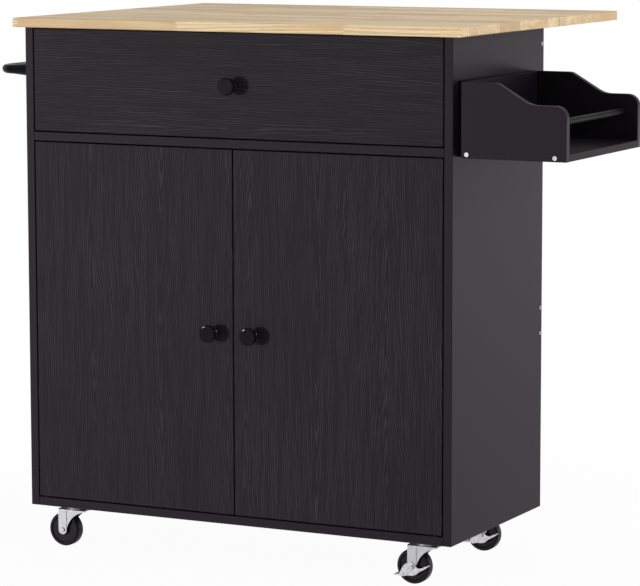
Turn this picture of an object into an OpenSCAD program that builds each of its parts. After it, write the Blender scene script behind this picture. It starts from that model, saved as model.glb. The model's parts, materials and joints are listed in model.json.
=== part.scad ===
// Drop leaf kitchen island on casters: a black cabinet with a drawer, two doors, a spice rack,
// a towel bar and a wooden top whose rear leaf folds down.
// X runs to the right, Y runs from the front to the back, Z is up, and the floor is at Z = 0.

/* [Carcass] */
// Width of the carcass over its two side panels
carcass_w = 800; // [760:1:860]
// Depth of the carcass
carcass_d = 374; // [360:1:420]
// Height of the side panels
carcass_h = 828; // [800:1:870]
// Thickness of the black boards
board_t = 15; // [14:0.5:18]
// Bevel along the edges of the black boards
board_edge = 0.6; // [0.3:0.1:1]
// Gap round each door and round the drawer front
front_gap = 2; // [1.8:0.1:3]
// Height of the drawer's bay between the divider rail and the top
drawer_bay_h = 178; // [165:1:200]
// Depth of the divider rail
divider_d = 80; // [60:1:110]
// Depth of the top front rail
front_rail_d = 70; // [50:1:100]
// Height of each rear rail
rear_rail_h = 100; // [80:1:110]
// Height of the middle rear rail's underside above the bottom of the carcass
mid_rail_z = 276; // [200:1:290]
// Thickness of the back panels
back_t = 3; // [2.5:0.5:4]
// Depth of the grooves that hold the back panels
back_groove = 6; // [4:0.5:7]

/* [Shelf] */
// Height of the shelf's underside above the bottom of the carcass
shelf_z = 310; // [300:1:340]
// Distance from the cabinet front to the shelf's front edge
shelf_setback = 45; // [30:1:80]
// Radius of the shelf pins
shelf_pin_r = 2.5; // [2:0.1:3]
// Length of the part of a shelf pin that stands out of the panel
shelf_pin_out = 9; // [6:0.5:14]
// Vertical distance between the shelf pin holes
shelf_pitch = 32; // [25:1:40]

/* [Worktop] */
// Thickness of the top and the leaf
top_t = 16; // [14:0.5:20]
// Overhang of the top at each side
top_side_over = 19; // [10:1:30]
// Overhang of the top at the front
top_front_over = 11; // [5:1:20]
// Overhang of the fixed top behind the carcass
top_rear_over = 22; // [22:0.5:30]
// Depth of the drop leaf
leaf_len = 269; // [262:1:300]
// Gap between the fixed top and the leaf
seam_gap = 1; // [0.6:0.1:2]
// Bevel along the edges of the top
top_edge = 1.2; // [0.5:0.1:2]

/* [Leaf hinges] */
// Number of hinges
hinge_count = 3; // [2:1:3]
// Distance from each side of the carcass to the middle of its outer hinge
hinge_in = 110; // [95:1:125]
// Length of a hinge along its pin
hinge_w = 50; // [40:1:70]
// Distance from the hinge pin to the outer edge of each hinge plate
hinge_plate_d = 22; // [18:0.5:22]
// Thickness of the hinge plates
hinge_plate_t = 1.6; // [1.2:0.1:2]
// Outer radius of the hinge knuckles
knuckle_r = 3; // [2.6:0.1:3.2]
// Radius of the hinge pin
hinge_pin_r = 1.5; // [1.2:0.1:1.8]

/* [Leaf brackets] */
// Distance from the end of an outer hinge to the middle of the folding bracket beside it
bracket_gap = 15; // [12:1:20]
// Depth of the strut pivot below the leaf's hinge line
strut_drop = 60; // [56:1:64]
// Length of a strut between its two pins
strut_len = 140; // [134:1:150]
// Width of a strut
strut_w = 9; // [7:0.5:9]
// Thickness of a strut
strut_t = 4; // [3:0.5:5]
// Radius of the pins in the brackets
strut_pin_r = 2.2; // [1.8:0.1:2.6]
// Thickness of the bracket sheet
bracket_sheet = 1.5; // [1.2:0.1:1.6]
// Distance from the slot's middle line to the lower edge of the bracket arm under the leaf
leaf_arm_edge = 6; // [5.5:0.1:6.5]
// Height of the bracket arm under the leaf at its hinge end
leaf_arm_h = 14; // [13:0.5:15]
// Length of the bracket arm on the rear rail
wall_arm_len = 84; // [72:1:84]

/* [Drawer] */
// Height of the drawer sides
drawer_side_h = 110; // [90:1:115]
// Room between the drawer box and the rear rails
drawer_rear_room = 29; // [26:0.5:45]
// Thickness of the drawer sides and the drawer back
drawer_side_t = 12; // [11:0.5:13]
// Thickness of the drawer bottom
drawer_bottom_t = 5; // [3:0.5:6]
// Depth of the grooves that hold the drawer bottom
drawer_groove = 6; // [4:0.5:7]
// Height of the drawer bottom above the lower edge of the sides
drawer_bottom_up = 8; // [6:0.5:12]
// Height of the drawer sides' lower edge above the divider rail
drawer_lift = 15; // [12:0.5:20]

/* [Drawer slides] */
// Width of the slide at each side of the drawer
slide_w = 12.5; // [12.5:0.1:13.5]
// Thickness of the slide sheet
slide_sheet = 1.1; // [1:0.1:1.3]
// Inner height of the cabinet channel
channel_h = 22; // [21.5:0.1:24]
// Distance from each end of a cabinet channel to its screw
channel_screw_in = 52; // [40:1:80]
// Width of the slide rollers
roller_w = 8; // [7:0.1:8]
// Radius of the roller pins
roller_pin_r = 2.5; // [2:0.1:3]
// Distance from the cabinet front to the axis of the cabinet rollers
roller_front = 28; // [26:1:34]
// Distance from the end of the drawer sides to the axis of the drawer rollers
roller_back = 12; // [11.5:0.5:16]

/* [Doors and knobs] */
// Distance from a door's outer edge to its pivot
pivot_in = 12; // [11:0.5:16]
// Distance from the door's front face to its pivot
pivot_back = 6; // [5.5:0.1:6.5]
// Radius of the pivot pins
pivot_r = 3; // [2.5:0.1:3.2]
// Depth of each pivot pin in its door and in its board
pivot_depth = 10; // [8:0.5:12]
// Radius of the knob heads
knob_r = 15; // [12:0.5:18]
// Distance that the knobs stand out of the fronts
knob_out = 25; // [22:0.5:30]
// Thickness of the knob heads
knob_head_t = 10; // [7:0.5:12]
// Radius of the rounded rims of the knob heads
knob_rim = 2.6; // [1:0.1:3]
// Radius of the knob necks
knob_neck_r = 6.5; // [5.5:0.5:8]
// Distance from a door's inner edge to its knob
knob_in = 37; // [30:1:60]
// Length of a magnetic catch
catch_w = 42; // [30:1:50]
// Distance from the middle of the cabinet to the middle of each catch
catch_in = 60; // [45:1:110]

/* [Spice rack] */
// Distance that the rack stands out of the carcass
rack_out = 196; // [190:1:210]
// Length of the rack from front to back
rack_len = 322; // [250:1:340]
// Thickness of the rack's end panels and bottom
rack_t = 12; // [11:0.5:13]
// Thickness of the rack's back board against the carcass
rack_back_t = 15; // [12:0.5:18]
// Distance from the rack's front to the front end of its back board
rack_back_in = 20; // [13:0.5:24]
// Height of the rack at the carcass
rack_h = 122; // [112:1:126]
// Height of the rack at its outer end
rack_low_h = 88; // [80:1:94]
// Length of the high part of the rack's end panels
rack_high_w = 61; // [50:1:70]
// Length of the slope of the rack's end panels
rack_slope_w = 58; // [50:1:64]
// Radius of the outer corner of the end panels
rack_corner_r = 20; // [12:1:24]
// Height of the rod's axis above the rack's underside
rod_up = 60; // [40:1:64]
// Distance from the rack's outer edge to the rod's axis
rod_in = 23; // [12:0.5:26]
// Radius of the rod
rod_r = 5.5; // [4:0.5:7]
// Distance from the rack's ends to the screws that hold it
rack_mount_in = 60; // [40:1:90]

/* [Towel bar] */
// Distance that the towel bar stands out of the carcass
towel_out = 72; // [60:1:90]
// Radius of the towel bar
towel_r = 8; // [6:0.5:9]
// Radius of the bar's arms at the carcass
towel_root_r = 11.5; // [10:0.5:13]
// Radius of the bends at the bar's middle line
towel_bend = 24; // [18:1:32]
// Distance from the carcass's front and rear edges to the bar's arms
towel_in = 24; // [20:1:60]
// Depth of the bar's middle line below the top of the carcass
towel_drop = 74; // [60:1:90]

/* [Casters] */
// Height of the casters
caster_h = 77; // [75:0.5:80]
// Radius of the wheels
wheel_r = 29.5; // [27:0.5:30]
// Width of the wheels
wheel_w = 19; // [17:0.5:20]
// Distance from the swivel axis to the wheel's axle
trail = 21.6; // [18:0.1:23]
// Distance from each side of the carcass to the swivel axes
caster_in_x = 64; // [64:1:90]
// Distance from the carcass's front and rear edges to the swivel axes
caster_in_y = 45; // [45:1:70]
// Thickness of the fork sheet
fork_t = 2; // [1.6:0.1:2.2]
// Gap between the wheel and each side of the fork
wheel_gap = 2.2; // [1.8:0.1:3]
// Radius of the axles
axle_r = 3; // [2.5:0.1:3.5]
// Thickness of the caster plates
caster_plate_t = 2; // [1.6:0.1:2.4]
// Length of a caster plate from left to right
caster_plate_w = 60; // [58:1:66]
// Length of a caster plate from front to back
caster_plate_d = 52; // [50:1:60]
// Thickness of the brake sheet
brake_t = 1.4; // [1.2:0.1:1.6]
// Distance from the axle to the pedal end of a brake
brake_reach = 32; // [31:0.5:34]

/* [Screws] */
// Shank radius of the long board screws
screw_r = 2.2; // [1.8:0.1:2.5]
// Head radius of the long board screws
screw_head_r = 3.6; // [3.2:0.1:4]
// Width of the open ring round the heads on the outside
screw_ring = 1.2; // [0.6:0.1:1.6]
// Shank radius of the short hardware screws
small_screw_r = 1.5; // [1.2:0.1:1.8]
// Head radius of the short hardware screws
small_head_r = 3; // [2.6:0.1:3.4]

/* [Hidden] */
$fn = 48;

// Colours
board_black = "#2d2b2d";
rack_black = "#262527";
wood_tan = "#e0c590";
steel_grey = "#b9bcc0";
gloss_black = "#121214";
plastic_grey = "#cfcfcf";
panel_brown = "#6b5a48";

// Clearances
fit = 0.05;
screw_clear = 0.1;
groove_clear = 0.2;
part_clear = 0.3;
overcut = 1;

// Screws: how deep a head sits in its board, how far it stands out, and the screws' lengths
head_sink = 1.4;
head_proud = 0.5;
rail_screw_len = 45;
rack_screw_len = 36;
small_screw_len = 11;
small_head_t = 1.2;
flat_head_t = 0.6;
recess_depth = 0.8;
recess_w = 0.9;

// Outer places of the carcass
front_reach = max(knob_out, top_front_over);
rear_reach = top_rear_over + seam_gap + leaf_len;
x_left = (towel_out - rack_out - carcass_w) / 2;
x_right = x_left + carcass_w;
x_mid = x_left + carcass_w / 2;
y_front = (front_reach - rear_reach - carcass_d) / 2;
y_back = y_front + carcass_d;
z_low = caster_h;
z_high = z_low + carcass_h;
in_left = x_left + board_t;
in_right = x_right - board_t;
inner_w = in_right - in_left;

// Rails and back
divider_high = z_high - drawer_bay_h;
divider_low = divider_high - board_t;
mid_rail_low = z_low + mid_rail_z;
top_rail_low = z_high - rear_rail_h;
y_rail = y_back - board_t;
y_groove = y_rail + (board_t - back_t) / 2;
back_fit = back_groove - 2 * groove_clear;
rail_screw_up = [[top_rail_low, [16, 72]], [mid_rail_low, [28, 72]]];

// Shelf
shelf_low = z_low + shelf_z;
shelf_end_gap = 0.5;
shelf_rear_gap = 2;
shelf_y = y_front + shelf_setback;
shelf_d = y_rail - shelf_rear_gap - shelf_y;
shelf_pin_in = 40;
shelf_hole_depth = 9;
shelf_pin_z = shelf_low - shelf_pin_r - fit;

// Worktop and leaf: the hinge line lies under the seam
y_seam = y_back + top_rear_over + seam_gap / 2;
knuckle_gap = 0.4;
z_hinge = z_high - knuckle_r - knuckle_gap;
knuckle_w = (hinge_w - 2 * knuckle_gap) / 3;
hinge_screw_dx = hinge_w / 2 - 8;
hinge_x = [for (i = [0:hinge_count - 1])
    x_left + hinge_in + i * (carcass_w - 2 * hinge_in) / (hinge_count - 1)];

// Leaf brackets: the pin at the end of a strut runs in a slot of the arm under the leaf
bracket_in = hinge_in + hinge_w / 2 + bracket_gap;
bracket_x = [x_left + bracket_in, x_right - bracket_in];
pin_depth = 7.6;
pin_off = pin_depth - (z_high - z_hinge);
y_strut = y_seam - pin_off;
z_strut = z_hinge - strut_drop;
strut_angle = asin((strut_drop - pin_off) / strut_len);
ear_gap = strut_t / 2 + 0.5;
arm_gap = ear_gap + bracket_sheet + 1;
arm_out = arm_gap + bracket_sheet;
ear_r = strut_pin_r + 2;
leaf_arm_start = 2;
leaf_arm_end = strut_drop + strut_len + leaf_arm_edge;
leaf_arm_screw_d = [22, 90, 165];
wall_arm_top = 12;
wall_arm_screw_dz = 22;

// Drawer
drawer_low = divider_high + drawer_lift;
box_left = in_left + slide_w;
box_front = y_front + board_t;
box_back = y_rail - drawer_rear_room;
drawer_side_len = box_back - box_front;
drawer_bottom_z = drawer_low + drawer_bottom_up;
drawer_back_low = drawer_bottom_z + drawer_bottom_t;

// Drawer slides, drawn for the left side
channel_end_gap = 3;
channel_up = 15;
channel_z = drawer_low + channel_up;
channel_top_z = channel_z + channel_h / 2;
lip_z = channel_top_z - part_clear - slide_sheet;
channel_lip = slide_w - 2 * slide_sheet - 0.6;
channel_len = drawer_side_len + 8;
channel_y = box_front + channel_end_gap;
runner_x = box_left - slide_sheet;
runner_low = drawer_low - slide_sheet;
front_roller_r = lip_z - channel_z - part_clear;
rear_roller_r = channel_h / 2 - 0.4;
roller_head_t = 0.7;
y_front_roller = y_front + roller_front;
y_rear_roller = box_back - roller_back;

// Doors and knobs
door_low = z_low + board_t + front_gap;
door_high = divider_low - front_gap;
door_left = in_left + front_gap;
door_inner = x_mid - front_gap / 2;
door_w = door_inner - door_left;
pivot_x = door_left + pivot_in;
pivot_y = y_front + pivot_back;
collar_r = pivot_r + 2;
collar_t = front_gap - 0.2;
knob_z = (door_low + door_high) / 2;
drawer_front_low = divider_high + front_gap;
drawer_front_h = z_high - front_gap - drawer_front_low;
drawer_knob_z = drawer_front_low + drawer_front_h / 2;
door_knob_x = door_inner - knob_in;
knob_screw_r = 2;
knob_screw_head_r = 4;
knob_screw_head_t = 2.2;
knob_screw_in = 12;
strike_t = 1.2;
strike_h = 10;
catch_h = 14;
catch_d = 18;

// Spice rack
rack_low = divider_low;
rack_in = x_right + rack_back_t;
rack_w = rack_out - rack_back_t;
rack_slope_end = rack_high_w + rack_slope_w;
rod_x = x_right + rack_out - rod_in;
rod_z = rack_low + rod_up;
rod_hole = 6;
y_rack_back = y_front + rack_len;
rack_screw_in = 9;
rack_screw_out = 20;
rack_mount_y = [y_front + rack_mount_in, y_rack_back - rack_mount_in];
rack_mount_up = [24, rack_h - 20];

// Towel bar
towel_z = z_high - towel_drop;
towel_y = [y_front + towel_in, y_back - towel_in];
towel_x = x_left - towel_out + towel_r;
towel_flange_r = towel_root_r + 0.8;
towel_flange_t = 2;

// Casters
axle_z = wheel_r;
caster_x = [x_left + caster_in_x, x_right - caster_in_x];
caster_y = [y_front + caster_in_y, y_back - caster_in_y];
fork_in = wheel_w / 2 + wheel_gap;
fork_out = fork_in + fork_t;
crown_top = z_low - 10;
crown_low = crown_top - fork_t;
fork_leg_r = 8;
fork_web = 45;
fork_fold = 0.8;
kingpin_r = 8;
race_r = 17;
race_gap = 0.4;
brake_in = fork_out + part_clear;
brake_out = brake_in + brake_t;
rivet_r = axle_r + 1;
rivet_t = 1.8;
brake_low = 15.6;
brake_hump = 7.6;
brake_pedal_d = 4;
brake_far_reach = 14;
plate_hole_x = caster_plate_w / 2 - 7;
plate_hole_y = caster_plate_d / 2 - 7;

// ---- shared shapes ----

function bevelled(a, b, c) =
    [[c, 0], [a - c, 0], [a, c], [a, b - c], [a - c, b], [c, b], [0, b - c], [0, c]];

// A board with its low corner at the origin and a bevel along every edge
module board(size, c = board_edge) {
    intersection() {
        linear_extrude(size[2]) polygon(bevelled(size[0], size[1], c));
        translate([0, size[1], 0]) rotate([90, 0, 0])
            linear_extrude(size[1]) polygon(bevelled(size[0], size[2], c));
        rotate([90, 0, 90]) linear_extrude(size[0]) polygon(bevelled(size[1], size[2], c));
    }
}

// The mirror image about the cabinet's middle plane
module flipped() {
    translate([2 * x_mid, 0, 0]) mirror([1, 0, 0]) children();
}

// A piece and its mirror image
module both_sides() {
    children();
    flipped() children();
}

module along_x(x, y, z, r, len) {
    translate([x, y, z]) rotate([0, 90, 0]) cylinder(r = r, h = len);
}

module along_y(x, y, z, r, len) {
    translate([x, y + len, z]) rotate([90, 0, 0]) cylinder(r = r, h = len);
}

// A screw along +Z whose head lies below Z = 0; grow makes the hole that it needs
module screw(r, len, head_r, head_t, grow = 0) {
    $fn = 24;
    translate([0, 0, -head_t - grow]) cylinder(r = head_r + grow, h = head_t + grow);
    translate([0, 0, -grow]) cylinder(r = r + grow, h = len + 2 * grow);
}

// A board screw with a cross recess in its head; its hole leaves an open ring of the given width
module board_screw(len, head_t, grow = 0, ring = 0) {
    if (grow > 0) screw(screw_r, len, screw_head_r + ring, head_t, grow);
    else difference() {
        screw(screw_r, len, screw_head_r, head_t);
        for (turn = [0, 90]) rotate(turn)
            translate([-screw_head_r * 0.62, -recess_w / 2, -head_t - overcut])
                cube([2 * screw_head_r * 0.62, recess_w, recess_depth + overcut]);
    }
}

// Points on a curve that bends from a to c towards b
function curve(a, b, c, n) =
    [for (i = [0:n]) let (t = i / n) (1 - t) * (1 - t) * a + 2 * t * (1 - t) * b + t * t * c];

function arc(cx, cy, r, from, to, n) =
    [for (i = [0:n]) let (q = from + (to - from) * i / n) [cx + r * cos(q), cy + r * sin(q)]];

// ---- screws ----

module side_screws(grow = 0) {
    both_sides()
        for (rail = rail_screw_up, up = rail[1])
            translate([x_left + head_sink, y_rail + board_t / 2, rail[0] + up]) rotate([0, 90, 0])
                board_screw(rail_screw_len, head_sink + head_proud, grow, screw_ring);
}

module rack_end_screws(grow = 0) {
    for (x = [rack_in + rack_screw_in, x_right + rack_out - rack_screw_out]) {
        translate([x, y_front + head_sink, rack_low + rack_t / 2]) rotate([-90, 0, 0])
            board_screw(rack_screw_len, head_sink + head_proud, grow, screw_ring);
        translate([x, y_rack_back - head_sink, rack_low + rack_t / 2]) rotate([90, 0, 0])
            board_screw(rack_screw_len, head_sink + head_proud, grow, screw_ring);
    }
}

module rack_mount_screws(grow = 0) {
    for (y = rack_mount_y, up = rack_mount_up)
        translate([in_right, y, rack_low + up]) rotate([0, 90, 0])
            board_screw(board_t + rack_back_t - 3, head_sink, grow);
}

module towel_screws(grow = 0) {
    for (y = towel_y)
        translate([in_left, y, towel_z]) rotate([0, -90, 0])
            board_screw(board_t + 14, head_sink, grow);
}

module top_screws(grow = 0) {
    for (x = hinge_x)
        translate([x, channel_y + front_rail_d / 2, z_high - board_t])
            board_screw(board_t + top_t - 4, head_sink, grow);
}

// Screws of one hinge plate: side is -1 under the fixed top and 1 under the leaf
module hinge_screws(side, grow = 0) {
    for (x = hinge_x, dx = [-hinge_screw_dx, hinge_screw_dx])
        translate([x + dx, y_seam + side * (hinge_plate_d - 9), z_high - hinge_plate_t])
            screw(small_screw_r, small_screw_len, small_head_r, small_head_t, grow);
}

module wall_arm_screws(grow = 0) {
    for (x = bracket_x, dz = [-wall_arm_screw_dz, wall_arm_screw_dz])
        translate([x, y_back + bracket_sheet, z_strut + dz]) rotate([90, 0, 0])
            screw(small_screw_r, small_screw_len, small_head_r, small_head_t, grow);
}

module leaf_arm_screws(grow = 0) {
    for (x = bracket_x, d = leaf_arm_screw_d)
        translate([x, y_seam + d, z_high - bracket_sheet])
            screw(small_screw_r, small_screw_len, small_head_r, small_head_t, grow);
}

module channel_screws(grow = 0) {
    both_sides()
        for (y = [channel_y + channel_screw_in, channel_y + channel_len - channel_screw_in])
            translate([in_left + slide_sheet, y, channel_z]) rotate([0, -90, 0])
                screw(small_screw_r, small_screw_len, small_head_r, flat_head_t, grow);
}

module caster_screws(grow = 0) {
    for (x = caster_x, y = caster_y, dx = [-1, 1], dy = [-1, 1])
        translate([x + dx * plate_hole_x, y + dy * plate_hole_y, z_low - caster_plate_t])
            screw(small_screw_r, small_screw_len, small_head_r, small_head_t, grow);
}

module wood_screws() {
    color(steel_grey) {
        side_screws();
        rack_end_screws();
        rack_mount_screws();
        towel_screws();
        top_screws();
        hinge_screws(-1);
        wall_arm_screws();
        channel_screws();
        caster_screws();
    }
}

module leaf_screws() {
    color(steel_grey) {
        hinge_screws(1);
        leaf_arm_screws();
    }
}

// ---- carcass ----

// The left panel; the groove for the back runs its full height
module side_panel() {
    difference() {
        translate([x_left, y_front, z_low]) board([board_t, carcass_d, carcass_h]);
        translate([in_left - back_groove, y_groove - groove_clear / 2, z_low - overcut])
            cube([back_groove + overcut, back_t + groove_clear, carcass_h + 2 * overcut]);
        for (y = [shelf_y + shelf_pin_in, shelf_y + shelf_d - shelf_pin_in], step = [-2:2])
            along_x(in_left - shelf_hole_depth, y, shelf_pin_z + step * shelf_pitch,
                    shelf_pin_r + fit, shelf_hole_depth + overcut, $fn = 24);
    }
}

module left_side_panel() {
    color(board_black) difference() {
        side_panel();
        side_screws(screw_clear);
        towel_screws(screw_clear);
        channel_screws(screw_clear);
    }
}

module right_side_panel() {
    color(board_black) difference() {
        flipped() side_panel();
        side_screws(screw_clear);
        rack_mount_screws(screw_clear);
        channel_screws(screw_clear);
    }
}

module bottom_board() {
    color(board_black) difference() {
        translate([in_left, y_front, z_low]) board([inner_w, carcass_d, board_t]);
        translate([in_left - overcut, y_groove - groove_clear / 2, z_low + board_t - back_groove])
            cube([inner_w + 2 * overcut, back_t + groove_clear, back_groove + overcut]);
        both_sides() translate([pivot_x, pivot_y, z_low + board_t - pivot_depth])
            cylinder(r = pivot_r + fit, h = pivot_depth + overcut);
        caster_screws(screw_clear);
    }
}

module divider_rail() {
    color(board_black) difference() {
        translate([in_left, y_front, divider_low]) board([inner_w, divider_d, board_t]);
        both_sides() translate([pivot_x, pivot_y, divider_low - overcut])
            cylinder(r = pivot_r + fit, h = pivot_depth + overcut);
    }
}

module top_front_rail() {
    color(board_black) difference() {
        translate([in_left, channel_y, z_high - board_t])
            board([inner_w, front_rail_d, board_t]);
        top_screws(screw_clear);
    }
}

// Two equal rails between the side panels, grooved where a back panel meets them
module rear_rails() {
    color(board_black) difference() {
        for (low = [top_rail_low, mid_rail_low])
            translate([in_left, y_rail, low]) board([inner_w, board_t, rear_rail_h]);
        for (low = [top_rail_low - overcut, mid_rail_low - overcut,
                    mid_rail_low + rear_rail_h - back_groove])
            translate([in_left - overcut, y_groove - groove_clear / 2, low])
                cube([inner_w + 2 * overcut, back_t + groove_clear, back_groove + overcut]);
        side_screws(screw_clear);
        wall_arm_screws(screw_clear);
    }
}

module back_panels() {
    upper_low = mid_rail_low + rear_rail_h;
    lower_low = z_low + board_t;
    color(panel_brown)
        for (bay = [[lower_low, mid_rail_low], [upper_low, top_rail_low]])
            translate([in_left - back_fit, y_groove, bay[0] - back_fit])
                cube([inner_w + 2 * back_fit, back_t, bay[1] - bay[0] + 2 * back_fit]);
}

module shelf() {
    color(board_black)
        translate([in_left + shelf_end_gap, shelf_y, shelf_low])
            board([inner_w - 2 * shelf_end_gap, shelf_d, board_t]);
}

module shelf_pins() {
    $fn = 24;
    color(steel_grey) both_sides()
        for (y = [shelf_y + shelf_pin_in, shelf_y + shelf_d - shelf_pin_in])
            along_x(in_left - shelf_hole_depth + screw_clear, y, shelf_pin_z, shelf_pin_r,
                    shelf_hole_depth + shelf_pin_out);
}

// ---- top, leaf and hinges ----

module fixed_top() {
    color(wood_tan) difference() {
        translate([x_left - top_side_over, y_front - top_front_over, z_high])
            board([carcass_w + 2 * top_side_over, top_front_over + carcass_d + top_rear_over, top_t],
                  top_edge);
        top_screws(screw_clear);
        hinge_screws(-1, screw_clear);
    }
}

module drop_leaf() {
    color(wood_tan) difference() {
        translate([x_left - top_side_over, y_seam + seam_gap / 2, z_high])
            board([carcass_w + 2 * top_side_over, leaf_len, top_t], top_edge);
        hinge_screws(1, screw_clear);
        leaf_arm_screws(screw_clear);
    }
}

// One hinge plate with its knuckles; starts lists where each knuckle begins along the pin
module hinge_plate(side, starts) {
    plate_y = knuckle_r + knuckle_gap;
    difference() {
        union() {
            translate([-hinge_w / 2, min(side * plate_y, side * hinge_plate_d), -hinge_plate_t])
                cube([hinge_w, hinge_plate_d - plate_y, hinge_plate_t]);
            for (x = starts) {
                translate([x, min(0, side * (plate_y + fit)), -hinge_plate_t])
                    cube([knuckle_w, plate_y + fit, hinge_plate_t]);
                translate([x, 0, z_hinge - z_high]) rotate([0, 90, 0])
                    cylinder(r = knuckle_r, h = knuckle_w, $fn = 32);
            }
        }
        translate([-hinge_w, 0, z_hinge - z_high]) rotate([0, 90, 0])
            cylinder(r = hinge_pin_r + fit, h = 2 * hinge_w, $fn = 32);
    }
}

module hinge_top_plates() {
    outer = hinge_w / 2 - knuckle_w;
    color(steel_grey) difference() {
        for (x = hinge_x) translate([x, y_seam, z_high]) hinge_plate(-1, [-hinge_w / 2, outer]);
        hinge_screws(-1, screw_clear);
    }
}

module hinge_leaf_plates() {
    color(steel_grey) difference() {
        for (x = hinge_x) translate([x, y_seam, z_high]) hinge_plate(1, [-knuckle_w / 2]);
        hinge_screws(1, screw_clear);
    }
}

module hinge_pins() {
    color(steel_grey)
        for (x = hinge_x) along_x(x - hinge_w / 2, y_seam, z_hinge, hinge_pin_r, hinge_w, $fn = 32);
}

// ---- folding brackets ----

// A flat strip on the rear rail with two ears that carry the strut pin
module bracket_wall_arms() {
    ear_d = y_strut - y_back;
    color(steel_grey) difference() {
        for (x = bracket_x) {
            translate([x - arm_out, y_back, z_high - wall_arm_top - wall_arm_len])
                cube([2 * arm_out, bracket_sheet, wall_arm_len]);
            for (side = [-1, 1])
                translate([x + side * (ear_gap + bracket_sheet / 2), y_back, z_strut])
                    rotate([90, 0, 90]) translate([0, 0, -bracket_sheet / 2])
                        linear_extrude(bracket_sheet) union() {
                            translate([0.2, -ear_r]) square([ear_d - 0.2, 2 * ear_r]);
                            translate([ear_d, 0]) circle(r = ear_r);
                        }
            along_x(x - ear_gap - bracket_sheet - 0.4, y_strut, z_strut, strut_pin_r,
                    2 * (ear_gap + bracket_sheet + 0.4), $fn = 32);
        }
        wall_arm_screws(screw_clear);
    }
}

// The middle line of the slot, from the hinge pin with the leaf up; its curve lets the strut
// turn at a constant rate with the leaf
function slot_line(n) =
    [for (i = [0:n]) let (leaf_turn = 90 * i / n,
                          turn = strut_angle - (90 + strut_angle) * i / n,
                          y = strut_len * cos(turn) - pin_off,
                          z = strut_len * sin(turn) - strut_drop)
        [y * cos(leaf_turn) - z * sin(leaf_turn), y * sin(leaf_turn) + z * cos(leaf_turn)]];

// The line p moved sideways by d, to the left of its direction where d is positive
function beside(p, d) =
    [for (i = [0:len(p) - 1]) let (step = p[min(i + 1, len(p) - 1)] - p[max(i - 1, 0)])
        p[i] + d / norm(step) * [-step[1], step[0]]];

function reversed(p) = [for (i = [len(p) - 1:-1:0]) p[i]];

module slot_shape() {
    line = slot_line(18);
    slot_r = strut_pin_r + part_clear;
    polygon(concat(beside(line, slot_r), reversed(beside(line, -slot_r))));
    for (end = [line[0], line[len(line) - 1]]) translate(end) circle(r = slot_r, $fn = 24);
}

// One cheek of the arm under the leaf, in the plane of the fold with the hinge pin at the origin
module leaf_cheek() {
    top = z_high - z_hinge;
    low = top - leaf_arm_h;
    difference() {
        polygon(concat(
            [[leaf_arm_start, top], [leaf_arm_start, low + 4], [leaf_arm_start + 4, low]],
            [for (q = beside(slot_line(18), -leaf_arm_edge)) if (q[1] < low) q],
            [[leaf_arm_end, low + leaf_arm_edge], [leaf_arm_end, top]]));
        slot_shape();
    }
}

// An arm under the leaf: two slotted cheeks joined by a web that lies on the leaf
module bracket_leaf_arms() {
    color(steel_grey) difference() {
        for (x = bracket_x) {
            for (side = [-1, 1])
                translate([x + side * (arm_gap + bracket_sheet / 2) - bracket_sheet / 2, y_seam,
                           z_hinge])
                    rotate([90, 0, 90]) linear_extrude(bracket_sheet) leaf_cheek();
            translate([x - arm_out, y_seam + leaf_arm_start, z_high - bracket_sheet])
                cube([2 * arm_out, leaf_arm_end - leaf_arm_start, bracket_sheet]);
        }
        leaf_arm_screws(screw_clear);
    }
}

// A strut with a hole for its pivot and a riveted pin at the other end
module bracket_struts() {
    pin_out = arm_out + part_clear;
    color(steel_grey)
        for (x = bracket_x)
            translate([x, y_strut, z_strut]) rotate([strut_angle, 0, 0]) {
                difference() {
                    rotate([90, 0, 90]) translate([0, 0, -strut_t / 2])
                        linear_extrude(strut_t) union() {
                            circle(r = strut_w / 2);
                            translate([0, -strut_w / 2]) square([strut_len, strut_w]);
                            translate([strut_len, 0]) circle(r = strut_w / 2);
                        }
                    along_x(-strut_t, 0, 0, strut_pin_r + fit, 2 * strut_t, $fn = 32);
                }
                along_x(-pin_out, strut_len, 0, strut_pin_r, 2 * pin_out, $fn = 32);
                for (side = [-1, 1])
                    along_x(side * (pin_out + 0.5) - 0.5, strut_len, 0, strut_pin_r + 1.6, 1);
            }
}

// ---- drawer ----

module knob_screw_at(x, z, grow = 0) {
    translate([x, y_front + board_t, z]) rotate([90, 0, 0])
        screw(knob_screw_r, board_t + knob_screw_in, knob_screw_head_r, knob_screw_head_t, grow);
}

module knob_at(x, z) {
    head_low = knob_out - knob_head_t;
    color(gloss_black) difference() {
        translate([x, y_front, z]) rotate([90, 0, 0]) rotate_extrude($fn = 64)
            polygon(concat(
                [[0, 0], [knob_neck_r + 3, 0], [knob_neck_r + 3, 1.2]],
                curve([knob_neck_r + 2, 2.2], [knob_neck_r, 3], [knob_neck_r, 7], 4),
                curve([knob_neck_r, head_low - 1.5], [knob_neck_r + 0.5, head_low],
                      [knob_r - 4, head_low + 1], 4),
                arc(knob_r - knob_rim, head_low + 1 + knob_rim, knob_rim, -90, 0, 5),
                arc(knob_r - knob_rim, knob_out - knob_rim, knob_rim, 0, 90, 6),
                [[knob_r - 4, knob_out], [0, knob_out]]));
        knob_screw_at(x, z, screw_clear);
    }
}

module drawer_front() {
    color(board_black) difference() {
        translate([door_left, y_front, drawer_front_low])
            board([inner_w - 2 * front_gap, board_t, drawer_front_h]);
        drawer_bottom_space();
        knob_screw_at(x_mid, drawer_knob_z, screw_clear);
    }
}

// The room that the drawer bottom and its clearance take
module drawer_bottom_space() {
    side_in = box_left + drawer_side_t - drawer_groove;
    translate([side_in, box_front - drawer_groove, drawer_bottom_z - groove_clear / 2])
        cube([2 * (x_mid - side_in), drawer_side_len + drawer_groove + overcut,
              drawer_bottom_t + groove_clear / 2]);
}

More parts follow.
